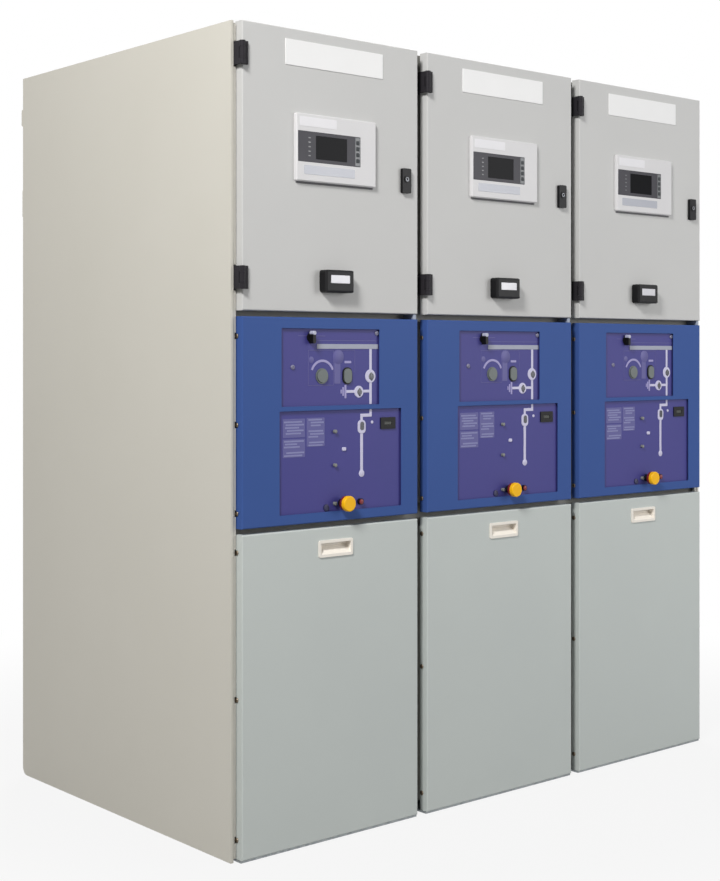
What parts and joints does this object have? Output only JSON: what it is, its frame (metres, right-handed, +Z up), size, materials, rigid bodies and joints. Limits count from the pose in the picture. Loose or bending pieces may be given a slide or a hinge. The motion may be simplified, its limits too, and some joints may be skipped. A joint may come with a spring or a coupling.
{
  "type": "gas-insulated switchgear",
  "caption": "Row of medium-voltage gas-insulated switchgear panels with hinged low-voltage doors, blue mechanism covers with indigo operating plates, and lift-off cable covers.",
  "frame": {"origin": "on the floor, under the middle of the whole box", "axes": "+Z up, doors face -Y, +X to the right along the row as seen from the front"},
  "size_m": [1.804, 1.082, 2],
  "materials": {
    "door_paint": "light grey powder coat, fine orange peel",
    "cover_paint": "light grey powder coat, fine orange peel",
    "sheet_paint": "cream grey powder coat",
    "frame_sheet": "dull aluminium-zinc coated sheet",
    "end_paint": "cream grey powder coat, fine orange peel",
    "blue_paint": "blue powder coat, satin",
    "indigo_paint": "indigo screen-printed plate, satin",
    "hinge_black": "black powder-coated zinc casting",
    "relay_plastic": "moulded, fine grained",
    "display_plastic": "dark display and key foil",
    "black_plastic": "moulded, satin",
    "lever_plastic": "grey green, satin",
    "trip_plastic": "yellow, glossy",
    "cup_plastic": "off-white, satin",
    "seal_rubber": "black foam rubber",
    "zinc_steel": "zinc-plated sheet",
    "base_steel": "galvanised steel"
  },
  "bodies": {
    "cubicle": {"panel_housing_1": "frame_sheet", "panel_housing_2": "frame_sheet", "panel_housing_3": "frame_sheet", "lv_compartment_1": "frame_sheet", "lv_compartment_2": "frame_sheet", "lv_compartment_3": "frame_sheet", "mechanism_cover_1": "blue_paint", "mechanism_cover_2": "blue_paint", "mechanism_cover_3": "blue_paint", "operating_plates_1": "indigo_paint", "operating_plates_2": "indigo_paint", "operating_plates_3": "indigo_paint", "cable_cover_1": "cover_paint", "cable_cover_2": "cover_paint", "cable_cover_3": "cover_paint", "end_cover_left": "end_paint", "end_cover_right": "end_paint", "base_frame": "base_steel", "rear_covers": "sheet_paint", "rear_clips": "end_paint", "roof_plates": "sheet_paint", "mounting_plates": "zinc_steel", "door_seals": "seal_rubber", "hinge_brackets": "hinge_black", "cover_strips": "frame_sheet", "lever_covers": "lever_plastic", "operating_knobs": "black_plastic", "trip_buttons": "trip_plastic", "cover_handles": "cup_plastic"},
    "door_1": {"lv_door_1": "door_paint", "hinge_leaves_1": "hinge_black", "relay_1": "relay_plastic", "relay_display_1": "display_plastic", "voltage_indicator_1": "black_plastic", "door_lock_1": "black_plastic"},
    "door_2": {"lv_door_2": "door_paint", "hinge_leaves_2": "hinge_black", "relay_2": "relay_plastic", "relay_display_2": "display_plastic", "voltage_indicator_2": "black_plastic", "door_lock_2": "black_plastic"},
    "door_3": {"lv_door_3": "door_paint", "hinge_leaves_3": "hinge_black", "relay_3": "relay_plastic", "relay_display_3": "display_plastic", "voltage_indicator_3": "black_plastic", "door_lock_3": "black_plastic"}
  },
  "joints": [
    {"name": "door_1_hinge", "type": "hinge", "parent": "cubicle", "child": "door_1", "pos_m": [-0.888, -0.519, 1.656], "axis": [0, 0, -1], "range_deg": [0, 110]},
    {"name": "door_2_hinge", "type": "hinge", "parent": "cubicle", "child": "door_2", "pos_m": [-0.288, -0.519, 1.656], "axis": [0, 0, -1], "range_deg": [0, 110]},
    {"name": "door_3_hinge", "type": "hinge", "parent": "cubicle", "child": "door_3", "pos_m": [0.312, -0.519, 1.656], "axis": [0, 0, -1], "range_deg": [0, 110]}
  ]
}
